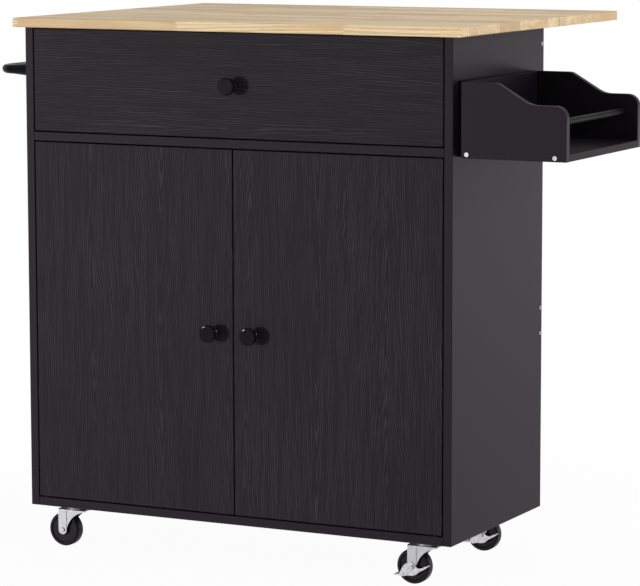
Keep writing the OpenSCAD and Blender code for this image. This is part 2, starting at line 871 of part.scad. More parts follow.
module drawer_sides() {
    color(board_black) difference() {
        both_sides() translate([box_left, box_front, drawer_low])
            board([drawer_side_t, drawer_side_len, drawer_side_h]);
        drawer_bottom_space();
    }
}

module drawer_back() {
    side_in = box_left + drawer_side_t;
    color(board_black)
        translate([side_in, box_back - drawer_side_t, drawer_back_low])
            board([2 * (x_mid - side_in), drawer_side_t,
                   drawer_low + drawer_side_h - 2 * board_edge - drawer_back_low]);
}

module drawer_bottom() {
    play = 2 * groove_clear;
    side_in = box_left + drawer_side_t - drawer_groove + play;
    color(panel_brown)
        translate([side_in, box_front - drawer_groove + play, drawer_bottom_z])
            cube([2 * (x_mid - side_in), drawer_side_len + drawer_groove - play, drawer_bottom_t]);
}

module drawer_knob() { knob_at(x_mid, drawer_knob_z); }

module drawer_knob_screw() {
    color(steel_grey) knob_screw_at(x_mid, drawer_knob_z);
}

// Channel on the cabinet side, with the pin of its front roller
module slide_channels() {
    color(steel_grey) difference() {
        both_sides() {
            translate([in_left, channel_y, channel_top_z - channel_h - slide_sheet]) difference() {
                cube([slide_sheet + channel_lip, channel_len, channel_h + 2 * slide_sheet]);
                translate([slide_sheet, -overcut, slide_sheet])
                    cube([channel_lip + overcut, channel_len + 2 * overcut, channel_h]);
            }
            along_x(in_left + slide_sheet / 2, y_front_roller, channel_z, roller_pin_r,
                    slide_sheet / 2 + roller_w + roller_head_t + 0.4, $fn = 32);
        }
        channel_screws(screw_clear);
    }
}

module channel_rollers() {
    color(plastic_grey) both_sides() difference() {
        along_x(in_left + slide_sheet + 0.3, y_front_roller, channel_z, front_roller_r, roller_w);
        along_x(in_left, y_front_roller, channel_z, roller_pin_r + fit, slide_w, $fn = 32);
    }
}

// Runner on the drawer side: a foot under the side, a wall beside it and a lip over the roller
module drawer_runners() {
    lip_out = slide_w - slide_sheet - 0.9;
    lip_end = y_rear_roller - rear_roller_r - 1.5;
    color(steel_grey) both_sides() {
        translate([runner_x, box_front, runner_low])
            cube([slide_sheet, drawer_side_len, lip_z + slide_sheet - runner_low]);
        translate([runner_x, box_front, runner_low])
            cube([drawer_side_t, drawer_side_len, slide_sheet]);
        translate([box_left - lip_out, box_front, lip_z])
            cube([lip_out - slide_sheet / 2, lip_end - box_front, slide_sheet]);
        along_x(runner_x - roller_w - roller_head_t - 0.4, y_rear_roller, channel_z,
                roller_pin_r, roller_w + roller_head_t + 0.4 + slide_sheet / 2, $fn = 32);
    }
}

module runner_rollers() {
    color(plastic_grey) both_sides() difference() {
        along_x(runner_x - roller_w - 0.3, y_rear_roller, channel_z, rear_roller_r, roller_w);
        along_x(in_left, y_rear_roller, channel_z, roller_pin_r + fit, slide_w, $fn = 32);
    }
}

// ---- doors ----

module door_blank() {
    difference() {
        translate([door_left, y_front, door_low]) board([door_w, board_t, door_high - door_low]);
        for (z = [door_low - overcut, door_high - pivot_depth])
            translate([pivot_x, pivot_y, z]) cylinder(r = pivot_r + fit, h = pivot_depth + overcut);
        knob_screw_at(door_knob_x, knob_z, screw_clear);
    }
}

module strike_blank() {
    translate([x_mid - catch_in - catch_w / 2, y_front + board_t, door_high - strike_h - 1])
        cube([catch_w, strike_t, strike_h]);
}

module left_door() { color(board_black) door_blank(); }
module right_door() { color(board_black) flipped() door_blank(); }
module left_door_knob() { knob_at(door_knob_x, knob_z); }
module right_door_knob() { flipped() knob_at(door_knob_x, knob_z); }
module left_knob_screw() { color(steel_grey) knob_screw_at(door_knob_x, knob_z); }
module right_knob_screw() { color(steel_grey) flipped() knob_screw_at(door_knob_x, knob_z); }
module left_strike_plate() { color(steel_grey) strike_blank(); }
module right_strike_plate() { color(steel_grey) flipped() strike_blank(); }

// Four pins with collars: two in the bottom board and two in the divider rail
module door_pivot_pins() {
    play = 0.2;
    color(plastic_grey) both_sides() {
        translate([pivot_x, pivot_y, door_low - front_gap - pivot_depth + play])
            cylinder(r = pivot_r, h = 2 * pivot_depth + front_gap - 2 * play);
        translate([pivot_x, pivot_y, door_low - front_gap]) cylinder(r = collar_r, h = collar_t);
        translate([pivot_x, pivot_y, door_high - pivot_depth + play])
            cylinder(r = pivot_r, h = 2 * pivot_depth + front_gap - 2 * play);
    }
}

// A magnetic catch under the divider rail behind each door
module door_catches() {
    y = y_front + board_t + strike_t + part_clear;
    color(board_black) both_sides()
        translate([x_mid - catch_in - catch_w / 2, y, divider_low - catch_h])
            board([catch_w, catch_d, catch_h], 1);
}

// ---- spice rack ----

// Outline of a rack end panel: high at the carcass, a slope, then a low end with a round corner
function rack_outline() =
    let (slope = (rack_h - rack_low_h) / (rack_slope_end - rack_high_w),
         bend = 12)
    concat(
        [[0, 0], [rack_w, 0]],
        arc(rack_w - rack_corner_r, rack_low_h - rack_corner_r, rack_corner_r, 0, 90, 10),
        curve([rack_slope_end + bend, rack_low_h], [rack_slope_end, rack_low_h],
              [rack_slope_end - bend, rack_low_h + slope * bend], 6),
        curve([rack_high_w + 5, rack_h - slope * 5], [rack_high_w, rack_h],
              [rack_high_w - 5, rack_h], 4),
        [[0, rack_h]]);

module rack_panel(y) {
    translate([rack_in, y + rack_t, rack_low]) rotate([90, 0, 0])
        linear_extrude(rack_t) polygon(rack_outline());
}

module rod_holes() {
    along_y(rod_x, y_front + rack_t - rod_hole, rod_z, rod_r + screw_clear,
            rack_len - 2 * rack_t + 2 * rod_hole);
}

module rack_front_panel() {
    color(rack_black) difference() {
        rack_panel(y_front);
        rod_holes();
        rack_end_screws(screw_clear);
    }
}

module rack_rear_panel() {
    color(rack_black) difference() {
        rack_panel(y_rack_back - rack_t);
        rod_holes();
        rack_end_screws(screw_clear);
    }
}

module rack_back_board() {
    color(rack_black) difference() {
        translate([x_right, y_front + rack_back_in, rack_low])
            board([rack_back_t, rack_len - rack_back_in, rack_h]);
        rack_mount_screws(screw_clear);
    }
}

module rack_bottom_board() {
    color(rack_black) difference() {
        translate([rack_in, y_front + rack_t, rack_low])
            board([rack_w, rack_len - 2 * rack_t, rack_t]);
        rack_end_screws(screw_clear);
    }
}

module rack_rod() {
    play = 0.3;
    color(rack_black)
        along_y(rod_x, y_front + rack_t - rod_hole + play, rod_z, rod_r,
                rack_len - 2 * rack_t + 2 * rod_hole - 2 * play);
}

// ---- towel bar ----

module towel_bar() {
    arm = towel_out - towel_r - towel_bend;
    color(gloss_black) difference() {
        union() {
            for (y = towel_y) {
                along_x(x_left - towel_flange_t, y, towel_z, towel_flange_r, towel_flange_t);
                translate([x_left - arm, y, towel_z]) rotate([0, 90, 0])
                    cylinder(r1 = towel_r, r2 = towel_root_r, h = arm - towel_flange_t / 2);
            }
            along_y(towel_x, towel_y[0] + towel_bend, towel_z, towel_r,
                    towel_y[1] - towel_y[0] - 2 * towel_bend);
            translate([towel_x + towel_bend, towel_y[0] + towel_bend, towel_z]) rotate([0, 0, 180])
                rotate_extrude(angle = 90) translate([towel_bend, 0]) circle(r = towel_r);
            translate([towel_x + towel_bend, towel_y[1] - towel_bend, towel_z]) rotate([0, 0, 90])
                rotate_extrude(angle = 90) translate([towel_bend, 0]) circle(r = towel_r);
        }
        towel_screws(screw_clear);
    }
}

// ---- casters ----

// A plate with the raised cup that the fork's kingpin turns in
module caster_plates() {
    color(steel_grey) difference() {
        for (x = caster_x, y = caster_y) translate([x, y, z_low]) {
            translate([-caster_plate_w / 2, -caster_plate_d / 2, -caster_plate_t])
                cube([caster_plate_w, caster_plate_d, caster_plate_t]);
            translate([0, 0, crown_top + race_gap - z_low]) difference() {
                cylinder(r = race_r, h = z_low - crown_top - race_gap - caster_plate_t / 2);
                translate([0, 0, -overcut]) cylinder(r = kingpin_r + fit, h = 7 + overcut);
            }
        }
        caster_screws(screw_clear);
    }
}

// Leg of a fork, in the plane of the wheel, with the axle at the origin
module fork_leg(top) {
    difference() {
        union() {
            circle(r = fork_leg_r);
            translate([-fork_leg_r, 0]) square([2 * fork_leg_r, top]);
        }
        circle(r = axle_r + fit);
    }
}

// Web beside the leg, cut back in a curve above the wheel
module fork_web_side(top) {
    polygon(concat([[0, fork_leg_r]],
                   curve([fork_leg_r - 0.2, 2], [2 * fork_leg_r, top - 5.5], [fork_web, top - 0.5], 8),
                   [[fork_web, top], [0, top]]));
}

// Bent crown over both sides, as a section across the wheel; its underside is at Z = 0
module fork_crown() {
    bend = fork_t + 0.6;
    lip = 1;
    translate([-fork_leg_r, 0, 0]) rotate([90, 0, 90]) linear_extrude(fork_web + fork_leg_r)
        polygon(concat(
            [[lip - fork_in, 0], [fork_in - lip, 0], [fork_in, -lip], [fork_out, -lip]],
            arc(fork_out - bend, fork_t - bend, bend, 0, 90, 4),
            arc(bend - fork_out, fork_t - bend, bend, 90, 180, 4),
            [[-fork_out, -lip], [-fork_in, -lip]]));
}

// The swivelling fork of the caster whose swivel axis stands at x, y
module fork_at(x, y) {
    crown = crown_low - axle_z;
    color(steel_grey) translate([x - trail, y, axle_z]) {
        for (flip = [0, 1]) mirror([0, flip, 0]) {
            translate([0, fork_out, 0]) rotate([90, 0, 0])
                linear_extrude(fork_t) fork_leg(crown - 0.5);
            translate([0, fork_out - fork_fold, 0]) rotate([90, 0, 0])
                linear_extrude(fork_t - fork_fold) fork_web_side(crown - 0.5);
        }
        translate([0, 0, crown]) fork_crown();
        translate([trail, 0, crown]) cylinder(r = kingpin_r, h = 8);
    }
}

// A riveted axle; its heads lie outside the fork, or outside the brake where there is one
module axle_at(x, y, reach) {
    color(steel_grey) translate([x - trail, y, axle_z]) {
        along_y(0, -reach - part_clear, 0, axle_r, 2 * (reach + part_clear));
        for (side = [-1, 1])
            along_y(0, side * (reach + part_clear + rivet_t / 2) - rivet_t / 2, 0, rivet_r, rivet_t);
    }
}

module wheel_at(x, y) {
    half = wheel_w / 2;
    tread = 4;
    hub = 9;
    color(gloss_black) translate([x - trail, y, axle_z]) rotate([90, 0, 0])
        rotate_extrude($fn = 96)
            polygon(concat(
                [[axle_r + fit, -half - 1], [hub, -half - 1], [hub + 1.5, -half + 2],
                 [wheel_r - 7, -half + 2], [wheel_r - 5.5, -half]],
                arc(wheel_r - tread, -half + tread, tread, -90, 0, 6),
                arc(wheel_r - tread, half - tread, tread, 0, 90, 6),
                [[wheel_r - 5.5, half], [wheel_r - 7, half - 2], [hub + 1.5, half - 2],
                 [hub, half + 1], [axle_r + fit, half + 1]]));
}

// Outline of a brake cheek: a thin pedal end, a hump over the axle and a tail
module brake_side() {
    r = brake_reach;
    low = -brake_low;
    top = brake_hump;
    difference() {
        polygon(concat(
            [[-r, low], [-r, low + brake_t], [-0.69 * r, low + 1.9 * brake_t]],
            curve([-0.66 * r, 0.74 * low], [-0.47 * r, 0.8 * top], [-0.12 * r, top], 5),
            curve([-0.03 * r, 1.05 * top], [0.12 * r, top], [0.28 * r, 0.08 * top], 4),
            [[0.41 * r, 0.08 * low], [0.56 * r, 0.03 * low], [1.02 * r, 0.8 * top],
             [1.03 * r, 0.65 * top], [0.75 * r, 0.1 * low], [0.44 * r, 0.45 * low]],
            curve([0.31 * r, 0.69 * low], [0.19 * r, 0.91 * low], [0, 0.92 * low], 3),
            [[-0.22 * r, 0.91 * low], [-0.41 * r, 1.04 * low], [-0.6 * r, 1.01 * low]]));
        circle(r = axle_r + fit);
    }
}

// A brake: the cheek in front keeps its tail, the cheek behind ends before it
module brake_at(x, y) {
    color(steel_grey) translate([x - trail, y, axle_z]) {
        translate([0, -brake_in, 0]) rotate([90, 0, 0]) linear_extrude(brake_t) brake_side();
        translate([0, brake_out, 0]) rotate([90, 0, 0]) linear_extrude(brake_t) intersection() {
            brake_side();
            translate([-brake_reach, -brake_reach])
                square([brake_reach + brake_far_reach, 2 * brake_reach]);
        }
        translate([-brake_reach, -brake_out, -brake_low])
            cube([brake_pedal_d, 2 * brake_out, brake_t]);
    }
}

module front_left_fork() { fork_at(caster_x[0], caster_y[0]); }
module front_right_fork() { fork_at(caster_x[1], caster_y[0]); }
module rear_left_fork() { fork_at(caster_x[0], caster_y[1]); }
module rear_right_fork() { fork_at(caster_x[1], caster_y[1]); }
module front_left_axle() { axle_at(caster_x[0], caster_y[0], fork_out); }
module front_right_axle() { axle_at(caster_x[1], caster_y[0], brake_out); }
module rear_left_axle() { axle_at(caster_x[0], caster_y[1], fork_out); }
module rear_right_axle() { axle_at(caster_x[1], caster_y[1], brake_out); }
module front_left_wheel() { wheel_at(caster_x[0], caster_y[0]); }
module front_right_wheel() { wheel_at(caster_x[1], caster_y[0]); }
module rear_left_wheel() { wheel_at(caster_x[0], caster_y[1]); }
module rear_right_wheel() { wheel_at(caster_x[1], caster_y[1]); }
module front_right_brake() { brake_at(caster_x[1], caster_y[0]); }
module rear_right_brake() { brake_at(caster_x[1], caster_y[1]); }

left_side_panel();
right_side_panel();
bottom_board();
divider_rail();
top_front_rail();
rear_rails();
back_panels();
shelf();
shelf_pins();
fixed_top();
wood_screws();
hinge_top_plates();
hinge_pins();
bracket_wall_arms();
slide_channels();
channel_rollers();
towel_bar();
rack_back_board();
rack_front_panel();
rack_rear_panel();
rack_bottom_board();
rack_rod();
door_pivot_pins();
door_catches();
caster_plates();
drop_leaf();
hinge_leaf_plates();
bracket_leaf_arms();
leaf_screws();
bracket_struts();
drawer_front();
drawer_sides();
drawer_back();
drawer_bottom();
drawer_runners();
runner_rollers();
drawer_knob();
drawer_knob_screw();
left_door();
left_door_knob();
left_knob_screw();
left_strike_plate();
right_door();
right_door_knob();
right_knob_screw();
right_strike_plate();
front_left_fork();
front_left_axle();
front_left_wheel();
front_right_fork();
front_right_axle();
front_right_wheel();
front_right_brake();
rear_left_fork();
rear_left_axle();
rear_left_wheel();
rear_right_fork();
rear_right_axle();
rear_right_wheel();
rear_right_brake();
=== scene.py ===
"""Looks of a drop leaf kitchen island: a black grained cabinet with a solid-wood top, on casters.

Units are metres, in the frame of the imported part: X right, Y back, Z up, the floor at Z = 0.
"""

import json
import math

import bpy
from mathutils import Matrix, Vector

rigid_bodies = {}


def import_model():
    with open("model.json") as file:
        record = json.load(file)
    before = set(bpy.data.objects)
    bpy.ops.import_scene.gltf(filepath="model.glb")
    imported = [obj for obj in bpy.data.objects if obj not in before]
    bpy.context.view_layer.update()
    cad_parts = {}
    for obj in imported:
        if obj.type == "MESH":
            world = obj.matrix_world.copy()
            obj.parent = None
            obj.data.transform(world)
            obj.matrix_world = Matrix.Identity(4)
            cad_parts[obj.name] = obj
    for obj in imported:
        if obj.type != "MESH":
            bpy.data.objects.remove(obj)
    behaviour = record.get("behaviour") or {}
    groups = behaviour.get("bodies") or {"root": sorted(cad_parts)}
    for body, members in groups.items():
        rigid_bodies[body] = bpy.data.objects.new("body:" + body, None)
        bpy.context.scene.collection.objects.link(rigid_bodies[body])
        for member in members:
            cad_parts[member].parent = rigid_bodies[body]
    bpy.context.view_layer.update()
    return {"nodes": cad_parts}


WHITE = (1.0, 1.0, 1.0)
NO_SHIFT = (0.0, 0.0, 0.0)

# ---- camera, at the photograph's viewing angle ----
CAMERA_AT = (2.3896, -4.8653, 1.1604)
CAMERA_YAW = 26.738  # degrees to the left of +Y
CAMERA_PITCH = 7.612  # degrees below the horizon
CAMERA_ROLL = -0.104  # degrees
SENSOR = 36.0  # mm
FOCAL_PX = 3125.4  # focal length in pixels of the picture
IMAGE_W = 640
CLIP_NEAR = 0.1
CLIP_FAR = 200.0

# ---- light ----
WORLD_LIGHT = 0.24
LAMPS = {
    # name: (place, aim, (width, height), power in watts, colour)
    "key_left": ((-6.4, -9.5, 0.55), (-0.1, -0.3, 0.50), (0.9, 1.2), 805.0, WHITE),
    "left_high": ((-5.2, -2.3, 2.3), (-0.5, -0.2, 0.70), (0.2, 0.2), 13.0, WHITE),
    "side_right": ((4.1, -0.5, 2.3), (0.3, -0.1, 0.60), (0.45, 0.45), 82.0, WHITE),
    "rear_right": ((2.5, 4.3, 0.24), (0.34, -0.1, 0.36), (2.0, 0.46), 17.0, (1.0, 0.93, 0.99)),
    "rear": ((-0.7, 5.0, 0.45), (-0.2, 0.1, 0.45), (1.8, 0.8), 95.0, WHITE),
    "overhead": ((0.2, 0.1, 3.6), (0.0, 0.0, 0.9), (2.6, 2.6), 16.8, WHITE),
}

# ---- floor: a lit disc that turns into plain white away from the object ----
FLOOR_RADIUS = 60.0
FLOOR_SIDES = 96
FLOOR_GREY = (0.86, 0.86, 0.86)
FLOOR_GLEAM = 0.30  # how much brighter than white the floor is in reflections
FADE_FROM = 0.55  # distance from the middle where the shadows start to fade
FADE_TO = 1.7
NEAR_WHITE = 0.965  # share of plain white near the object

# ---- colours, linear ----
BOARD_DARK = (0.0016, 0.0014, 0.0018)
BOARD_LIGHT = (0.0242, 0.0212, 0.0248)
FINE_DARK = (0.0053, 0.0043, 0.0054)
FINE_LIGHT = (0.0089, 0.0073, 0.0090)
RACK_DARK = (0.0054, 0.0044, 0.0056)
RACK_LIGHT = (0.0090, 0.0075, 0.0092)
BOARD_SHEEN = (1.0, 0.88, 0.99)  # tint of what the black pieces mirror
HARD_DARK = (0.009, 0.0082, 0.009)
HARD_LIGHT = (0.018, 0.0165, 0.018)
HARD_CLOUD = (0.018, 0.016, 0.016)
WOOD_PALE = (0.97, 0.76, 0.455)
WOOD_DEEP = (0.53, 0.35, 0.165)
WOOD_WARM = (0.68, 0.40, 0.16)
WOOD_LINE = (0.40, 0.25, 0.12)

# ---- grain of the black boards ----
# A pair of noise scales holds the cycles per metre across and along the grain.
# A span holds the two ends of the range that is read, and then what they become.
ARCH_WIDTH = 0.128  # half the width of an arch
ARCH_TIP = 0.0022  # roundness of its tip
LINES_ACROSS = 262.0  # lines per metre
LINES_ALONG = 17.0
SWAY = 0.05  # metres by which the arches sway
SWAY_SCALE = (2.6, 1.1)
WANDER = 3.2  # lines by which a line wanders
WANDER_SCALE = (17.0, 2.6)
JITTER = 1.7  # lines by which it trembles
JITTER_SCALE = (85.0, 16.0)
BREAK_SCALE = (210.0, 10.0)  # short breaks in a line
BREAK_SPAN = (0.34, 0.60, 0.12, 1.0)
PATCH_SCALE = (7.0, 2.5)  # patches where the lines are fainter
PATCH_SPAN = (0.30, 0.68, 0.55, 1.0)
RIDGE_SPAN = (0.12, 0.38, 0.0, 1.0)
FIBRE_SCALE = (600.0, 14.0)
FIBRE_HEIGHT = 0.25  # share of the height of a ridge
RIDGE_DEPTH = 0.0003
FIBRE_DEPTH = 0.00003
RIDGE_TINT = 0.95  # how far a ridge turns the dark colour into the light one
FIBRE_TINT = 0.55  # how far a fibre does
FIBRE_TINT_LOST = 0.25  # taken off that, times the strength of the ridges
BOARD_ROUGH = 0.50
RIDGE_POLISH = 0.05
FIBRE_ROUGH = 0.03
FIBRE_ROUGH_ADDED = 0.07  # times the strength of the ridges
BOARD_GLOSS = 0.09

# ---- wood top: glued staves in finger-jointed pieces ----
STAVE_W = 0.0405
STAVE_LEN = 0.31
STAVE_SHIFT = 40.37  # staves; sets where the first seam lies
START_SPREAD = 7.0  # piece lengths by which the joints of a stave are moved
FINGER_PITCH = 0.0036
FINGER_DEPTH = 0.0095
GLUE_SIDE = 0.00045  # half the width of a glue line between staves
GLUE_SIDE_DARK = 0.42  # its share of the line's colour
GLUE_END = 0.0006  # the same for the lines round the fingers
GLUE_END_DARK = 0.5
GLUE_GROOVE = 0.8
PIECE_SEED = 3.0
PIECE_JUMP = (5.0, 3.0, 3.0)  # metres by which the grain differs between pieces
PITH_Y = -0.035  # least place of the pith from the front side of its stave
PITH_Y_SPREAD = 0.11
PITH_Z = 0.845  # least height of the pith
PITH_Z_SPREAD = 0.09
RINGS = 210.0  # growth rings per metre
RING_DRIFT = 13.0  # rings by which they wander along a piece
RING_SPAN = (0.05, 0.5, 0.0, 1.0)
# Noise scales of the wood, in cycles per metre on X, Y and Z.
DRIFT_SCALE = (1.3, 9.0, 9.0)
WARM_SCALE = (1.6, 26.0, 60.0)
STREAK_SCALE = (2.2, 48.0, 120.0)
PORE_SCALE = (9.0, 700.0, 700.0)
FLECK_SCALE = (26.0, 620.0, 620.0)
TONE_SPAN = (0.0, 1.0, 0.0, 0.86)
GRAIN_SPAN = (0.55, 1.30, 0.0, 0.75)
WARM_SPAN = (0.50, 0.68, 0.0, 0.75)
FLECK_SPAN = (0.63, 0.74, 0.0, 0.55)


class Nodes:
    """Builds the node tree of a material or of the world."""

    def __init__(self, block, output="ShaderNodeOutputMaterial"):
        self.block = block
        self.block.use_nodes = True
        self.tree = self.block.node_tree
        self.tree.nodes.clear()
        self.out = self.add(output)

    def add(self, kind, inputs=None, **settings):
        """A new node; its inputs go by name or by number."""
        node = self.tree.nodes.new(kind)
        for key, value in settings.items():
            setattr(node, key, value)
        for key, value in (inputs or {}).items():
            self.put(node.inputs[key], value)
        return node

    def put(self, socket, value):
        """Links a socket, or sets a plain value."""
        if isinstance(value, bpy.types.NodeSocket):
            self.tree.links.new(value, socket)
        elif isinstance(value, tuple) and socket.type == "RGBA":
            socket.default_value = (*value, 1.0)
        else:
            socket.default_value = value

    def finish(self, shader):
        """Links the shader to the output, and gives the material or world."""
        self.tree.links.new(shader.outputs[0], self.out.inputs["Surface"])
        return self.block

    def place(self):
        """The point of the surface, in metres, in the piece's own frame."""
        return self.add("ShaderNodeTexCoord").outputs["Object"]

    def axes(self, vector):
        return self.add("ShaderNodeSeparateXYZ", {"Vector": vector}).outputs

    def math(self, operation, a, b=0.0, c=0.0):
        return self.add("ShaderNodeMath", {0: a, 1: b, 2: c}, operation=operation).outputs[0]

    def total(self, *terms, base=0.0):
        """The sum of value * weight over the terms, on top of a base value."""
        for value, weight in terms:
            base = self.math("MULTIPLY_ADD", value, weight, base)
        return base

    def scaled(self, vector, scale, shift=NO_SHIFT):
        return self.add("ShaderNodeVectorMath", {0: vector, 1: scale, 2: shift},
                        operation="MULTIPLY_ADD").outputs[0]

    def noise(self, vector, scale, detail=2.0, roughness=0.5, distortion=0.0):
        """Noise with this many cycles per metre: one number, or one for each axis."""
        if not isinstance(scale, tuple):
            scale = (scale, scale, scale)
        return self.add("ShaderNodeTexNoise", {
            "Vector": self.scaled(vector, scale), "Scale": 1.0, "Detail": detail,
            "Roughness": roughness, "Distortion": distortion}).outputs["Fac"]

    def span(self, value, low, high, to_low=0.0, to_high=1.0, smooth=True):
        """Maps low..high to to_low..to_high, and stops at the ends."""
        return self.add("ShaderNodeMapRange", {
            "Value": value, "From Min": low, "From Max": high, "To Min": to_low,
            "To Max": to_high}, interpolation_type="SMOOTHSTEP" if smooth else "LINEAR",
        ).outputs[0]

    def mix(self, factor, a, b):
        """Colour a where the factor is 0 and b where it is 1; 6, 7 and 2 are colour sockets."""
        return self.add("ShaderNodeMix", {"Factor": factor, 6: a, 7: b},
                        data_type="RGBA", blend_type="MIX").outputs[2]

    def off_whole(self, value):
        """How far a value is from the nearest whole number, 0 to 0.5."""
        return self.math("PINGPONG", value, 0.5)

    def rounded(self, value, tip):
        """A value of 0 and more whose turn at 0 is rounded over the length tip."""
        return self.math("SQRT", self.math("MULTIPLY_ADD", value, value, tip * tip))

    def bump(self, height, distance, strength):
        return self.add("ShaderNodeBump", {
            "Height": height, "Distance": distance, "Strength": strength}).outputs["Normal"]

    def surface(self, **inputs):
        """A Principled surface; names use _ for spaces."""
        return self.finish(self.add("ShaderNodeBsdfPrincipled", {
            key.replace("_", " "): value for key, value in inputs.items()}))

    def seen(self):
        """1 for camera, glossy and transmission rays, and 0 for all others."""
        path = self.add("ShaderNodeLightPath").outputs
        second = self.math("MAXIMUM", path["Is Glossy Ray"], path["Is Transmission Ray"])
        return self.math("MAXIMUM", path["Is Camera Ray"], second)


def material_nodes(name):
    return Nodes(bpy.data.materials.new(name))


# ---- the wood-grained black boards ----

AXES = ("x", "y", "z")
# The axis across the lines and the axis along them, for each direction of the grain.
LINE_AXES = {"x": ("Z", "X"), "y": ("Z", "Y"), "z": ("X", "Z")}


def stretch(grain, across, along):
    """A noise scale for each axis: one along the grain, and another on the two axes across it."""
    return tuple(along if axis == grain else across for axis in AXES)


def grained_board(name, grain, dark, light, ridges=1.0, shift=NO_SHIFT,
                  arch_width=ARCH_WIDTH, lean=1.0, pitch=LINES_ACROSS, gloss=BOARD_GLOSS):
    """Embossed black board: nested arches of grain lines, with fine fibres between them.

    ridges is how strong the lines are, and lean how fast an arch narrows along the grain.
    """
    n = material_nodes(name)
    at = n.scaled(n.place(), (1.0, 1.0, 1.0), shift)
    across, along = (n.axes(at)[axis] for axis in LINE_AXES[grain])

    sway = n.noise(at, stretch(grain, *SWAY_SCALE), detail=1.0)
    arch = n.math("PINGPONG", n.total((sway, SWAY), base=across), arch_width)
    arch = n.rounded(arch, ARCH_TIP)
    from_side = n.rounded(n.math("SUBTRACT", arch_width, arch), ARCH_TIP)
    arch = n.math("SUBTRACT", arch_width, from_side)

    wander = n.noise(at, stretch(grain, *WANDER_SCALE))
    jitter = n.noise(at, stretch(grain, *JITTER_SCALE))
    lines = n.total((along, LINES_ALONG * lean), (arch, pitch), (wander, WANDER),
                    (jitter, JITTER))
    broken = n.span(n.noise(at, stretch(grain, *BREAK_SCALE)), *BREAK_SPAN)
    patchy = n.span(n.noise(at, stretch(grain, *PATCH_SCALE)), *PATCH_SPAN)
    ridge = n.span(n.off_whole(lines), *RIDGE_SPAN)
    ridge = n.math("MULTIPLY", ridge, n.math("MULTIPLY", broken, patchy))

    fibre = n.noise(at, stretch(grain, *FIBRE_SCALE), roughness=0.6)
    height = n.total((fibre, FIBRE_HEIGHT), (ridge, ridges))
    tint = n.total((fibre, FIBRE_TINT - FIBRE_TINT_LOST * ridges), (ridge, RIDGE_TINT * ridges))
    rough = n.total((ridge, -RIDGE_POLISH * ridges),
                    (fibre, FIBRE_ROUGH + FIBRE_ROUGH_ADDED * ridges), base=BOARD_ROUGH)
    return n.surface(Base_Color=n.mix(tint, dark, light), Roughness=rough,
                     Specular_IOR_Level=gloss, Specular_Tint=BOARD_SHEEN,
                     Normal=n.bump(height, RIDGE_DEPTH * ridges + FIBRE_DEPTH, strength=0.8))


# ---- the glued wooden top ----

def glued_wood(name):
    """Finger-jointed staves along X, each piece with its own tone and growth rings."""
    n = material_nodes(name)
    at = n.place()
    x, y, z = n.axes(at)

    # which stave, and which piece of it
    across = n.total((y, 1.0 / STAVE_W), base=STAVE_SHIFT)
    stave = n.math("FLOOR", across)
    start = n.add("ShaderNodeTexWhiteNoise", {"W": stave}, noise_dimensions="1D").outputs[0]
    comb = n.off_whole(n.math("DIVIDE", n.math("ADD", y, z), FINGER_PITCH))
    reach = n.total((comb, 2.0 * FINGER_DEPTH), base=x)
    along = n.total((start, START_SPREAD), (reach, 1.0 / STAVE_LEN))
    piece = n.math("FLOOR", along)
    key = n.add("ShaderNodeCombineXYZ", {"X": stave, "Y": piece, "Z": PIECE_SEED}).outputs[0]
    tone, jump = n.add("ShaderNodeTexWhiteNoise", {"Vector": key},
                       noise_dimensions="3D").outputs
    own = n.scaled(jump, PIECE_JUMP, at)

    # growth rings: circles round a pith in or near each piece, which wander along it
    jump_y, jump_z, _ = n.axes(jump)
    in_stave = n.math("MULTIPLY", n.math("SUBTRACT", across, stave), STAVE_W)
    from_y = n.math("SUBTRACT", in_stave, n.total((jump_y, PITH_Y_SPREAD), base=PITH_Y))
    from_z = n.math("SUBTRACT", z, n.total((jump_z, PITH_Z_SPREAD), base=PITH_Z))
    square = n.math("MULTIPLY_ADD", from_y, from_y, n.math("MULTIPLY", from_z, from_z))
    radius = n.math("SQRT", square)
    drift = n.noise(own, DRIFT_SCALE, detail=1.5, roughness=0.45)
    ring = n.total((radius, RINGS), (drift, RING_DRIFT))
    ring = n.span(n.off_whole(ring), *RING_SPAN)

    # colour, from the piece's tone to the smallest marks
    fibre = n.noise(own, PORE_SCALE, detail=2.5, roughness=0.6)
    streak = n.noise(own, STREAK_SCALE, detail=3.0, roughness=0.6)
    grain = n.total((fibre, 0.30), (streak, 1.1), (ring, 0.42))
    warm = n.noise(own, WARM_SCALE, detail=1.0)
    fleck = n.noise(own, FLECK_SCALE, detail=1.0)
    colour = n.mix(n.span(tone, *TONE_SPAN, smooth=False), WOOD_PALE, WOOD_DEEP)
    colour = n.mix(n.span(grain, *GRAIN_SPAN), colour, WOOD_DEEP)
    colour = n.mix(n.span(warm, *WARM_SPAN), colour, WOOD_WARM)
    colour = n.mix(n.span(fleck, *FLECK_SPAN), colour, WOOD_LINE)

    # glue lines between staves and round the fingers
    side = n.span(n.off_whole(across), 0.0, GLUE_SIDE / STAVE_W, GLUE_SIDE_DARK, 0.0)
    end = n.span(n.off_whole(along), 0.0, GLUE_END / STAVE_LEN, GLUE_END_DARK, 0.0)
    glue = n.math("MAXIMUM", side, end)
    colour = n.mix(glue, colour, WOOD_LINE)

    height = n.total((ring, 0.25), (fibre, 0.4), (glue, -GLUE_GROOVE))
    return n.surface(Base_Color=colour, Roughness=n.total((fibre, 0.14), base=0.40),
                     Specular_IOR_Level=0.26,
                     Normal=n.bump(height, distance=0.00012, strength=0.8))


# ---- other finishes ----

